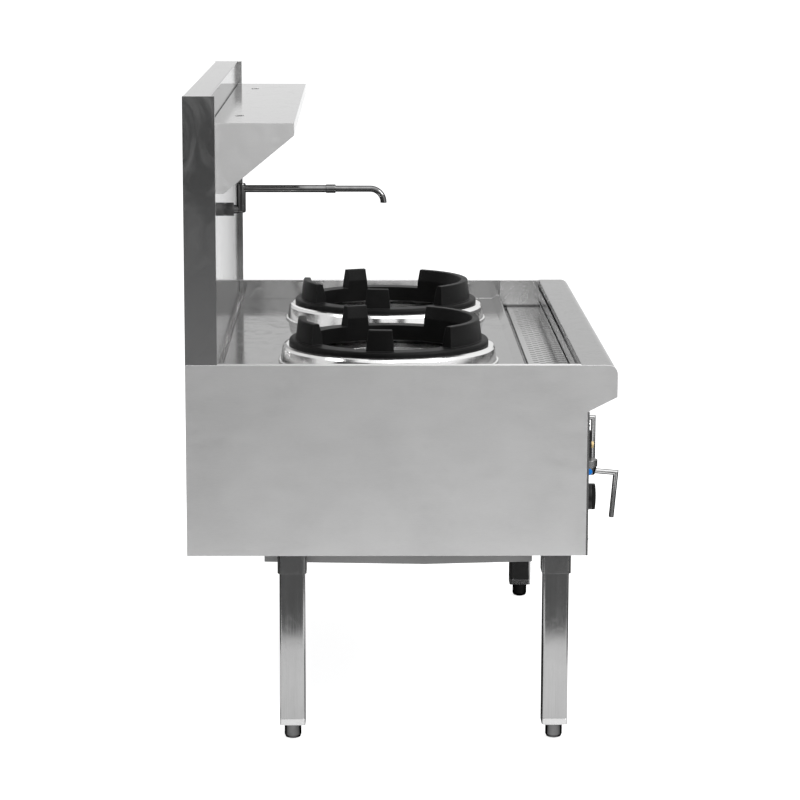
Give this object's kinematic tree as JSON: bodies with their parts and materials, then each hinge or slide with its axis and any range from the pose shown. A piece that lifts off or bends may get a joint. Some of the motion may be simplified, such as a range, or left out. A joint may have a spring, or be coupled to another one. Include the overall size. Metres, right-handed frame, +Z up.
{
  "type": "wok range",
  "caption": "Gas wok range: sunk steel worktop with cast wok rings, slotted front gutter, lever valves, high splashback with shelf and swing tap, on square legs with screw feet.",
  "frame": {"origin": "on the floor, under the middle of the range's overall width and depth", "axes": "+X to the cook's right along the length, +Y to the back, +Z up"},
  "size_m": [1.2, 0.88, 1.2225],
  "materials": {
    "panel_steel": "brushed along the length",
    "rail_steel": "brushed",
    "deck_steel": "near mirror",
    "splash_steel": "near mirror",
    "post_steel": "satin",
    "shelf_steel": "glossy",
    "shelf_end_steel": "satin",
    "gutter_steel": "satin",
    "strainer_steel": "satin",
    "collar_steel": "spun satin",
    "ring_iron": "rough matte",
    "well_lining": "rough matte",
    "head_iron": "rough matte",
    "jet_brass": "satin",
    "pilot_steel": "satin",
    "valve_chrome": "polished",
    "lever_chrome": "polished",
    "index_blue": "gloss",
    "valve_brass": "satin",
    "knob_black": "satin",
    "gas_pipe": "gloss paint",
    "screw_steel": "satin",
    "handle_black": "satin",
    "nut_brass": "satin",
    "copper_pipe": "satin copper",
    "drain_steel": "satin",
    "tap_chrome": "polished",
    "leg_steel": "satin",
    "socket_steel": "satin",
    "plug_steel": "cast, satin",
    "foot_steel": "satin",
    "rail_iron": "grey paint",
    "pan_steel": "satin"
  },
  "bodies": {
    "range_body": {"side_panel_left": "panel_steel", "side_panel_right": "panel_steel", "back_panel": "panel_steel", "front_rail": "rail_steel", "control_panel": "panel_steel", "deck": "deck_steel", "splash_panel": "splash_steel", "splash_end_left": "post_steel", "splash_end_right": "post_steel", "shelf_top": "shelf_steel", "shelf_end_left": "shelf_end_steel", "shelf_end_right": "shelf_end_steel", "gutter_trough": "gutter_steel", "burner_collar_left": "collar_steel", "burner_collar_right": "collar_steel", "combustion_well_left": "well_lining", "combustion_well_right": "well_lining", "burner_head_left": "head_iron", "burner_head_right": "head_iron", "burner_jets": "jet_brass", "pilot_burners": "pilot_steel", "lever_valve_left": "valve_chrome", "lever_valve_right": "valve_chrome", "pilot_valves": "valve_brass", "gas_manifold": "gas_pipe", "feed_pipes": "gas_pipe", "panel_screws": "screw_steel", "water_valve": "valve_brass", "water_pipes": "copper_pipe", "drain_pipe": "drain_steel", "tap_union": "tap_chrome", "tap_body": "tap_chrome", "tap_cap": "tap_chrome", "leg_front_left": "leg_steel", "leg_front_right": "leg_steel", "leg_back_left": "leg_steel", "leg_back_right": "leg_steel", "leg_sockets": "socket_steel", "leg_plugs": "plug_steel", "base_rails": "rail_iron", "under_pan": "pan_steel"},
    "lever_left_body": {"lever_left": "lever_chrome", "lever_index_left": "index_blue"},
    "lever_right_body": {"lever_right": "lever_chrome", "lever_index_right": "index_blue"},
    "knob_left_body": {"pilot_knob_left": "knob_black"},
    "knob_right_body": {"pilot_knob_right": "knob_black"},
    "water_handle_body": {"water_handle": "handle_black", "water_handle_nut": "nut_brass"},
    "spout_body": {"spout_arm": "tap_chrome", "spout_tip": "tap_chrome"},
    "ring_left_body": {"wok_ring_left": "ring_iron"},
    "ring_right_body": {"wok_ring_right": "ring_iron"},
    "strainer_body": {"strainer_plate": "strainer_steel"},
    "foot_front_left_body": {"foot_front_left": "foot_steel"},
    "foot_front_right_body": {"foot_front_right": "foot_steel"},
    "foot_back_left_body": {"foot_back_left": "foot_steel"},
    "foot_back_right_body": {"foot_back_right": "foot_steel"}
  },
  "joints": [
    {"name": "lever_left_turn", "type": "hinge", "parent": "range_body", "child": "lever_left_body", "pos_m": [-0.286, -0.376, 0.4655], "axis": [0, 0, 1], "range_deg": [0, 90]},
    {"name": "knob_left_turn", "type": "hinge", "parent": "range_body", "child": "knob_left_body", "pos_m": [-0.436, -0.36, 0.445], "axis": [0, 1, 0], "range_deg": [0, 180]},
    {"name": "ring_left_lift", "type": "slide", "parent": "range_body", "child": "ring_left_body", "axis": [0, 0, 1], "range_m": [0, 0.15]},
    {"name": "lever_right_turn", "type": "hinge", "parent": "range_body", "child": "lever_right_body", "pos_m": [0.286, -0.376, 0.4655], "axis": [0, 0, 1], "range_deg": [0, 90]},
    {"name": "knob_right_turn", "type": "hinge", "parent": "range_body", "child": "knob_right_body", "pos_m": [0.136, -0.36, 0.445], "axis": [0, 1, 0], "range_deg": [0, 180]},
    {"name": "ring_right_lift", "type": "slide", "parent": "range_body", "child": "ring_right_body", "axis": [0, 0, 1], "range_m": [0, 0.15]},
    {"name": "water_handle_turn", "type": "hinge", "parent": "range_body", "child": "water_handle_body", "pos_m": [-0.156, -0.389, 0.492], "axis": [0, 1, 0], "range_deg": [0, 90]},
    {"name": "spout_swing", "type": "hinge", "parent": "range_body", "child": "spout_body", "pos_m": [-0.286, 0.307, 1.0234], "axis": [0, 0, 1], "range_deg": [-90, 90]},
    {"name": "strainer_lift", "type": "slide", "parent": "range_body", "child": "strainer_body", "axis": [0, 0, 1], "range_m": [0, 0.1]},
    {"name": "foot_front_left_height", "type": "slide", "parent": "range_body", "child": "foot_front_left_body", "axis": [0, 0, -1], "range_m": [0, 0.025]},
    {"name": "foot_front_right_height", "type": "slide", "parent": "range_body", "child": "foot_front_right_body", "axis": [0, 0, -1], "range_m": [0, 0.025]},
    {"name": "foot_back_left_height", "type": "slide", "parent": "range_body", "child": "foot_back_left_body", "axis": [0, 0, -1], "range_m": [0, 0.025]},
    {"name": "foot_back_right_height", "type": "slide", "parent": "range_body", "child": "foot_back_right_body", "axis": [0, 0, -1], "range_m": [0, 0.025]}
  ]
}
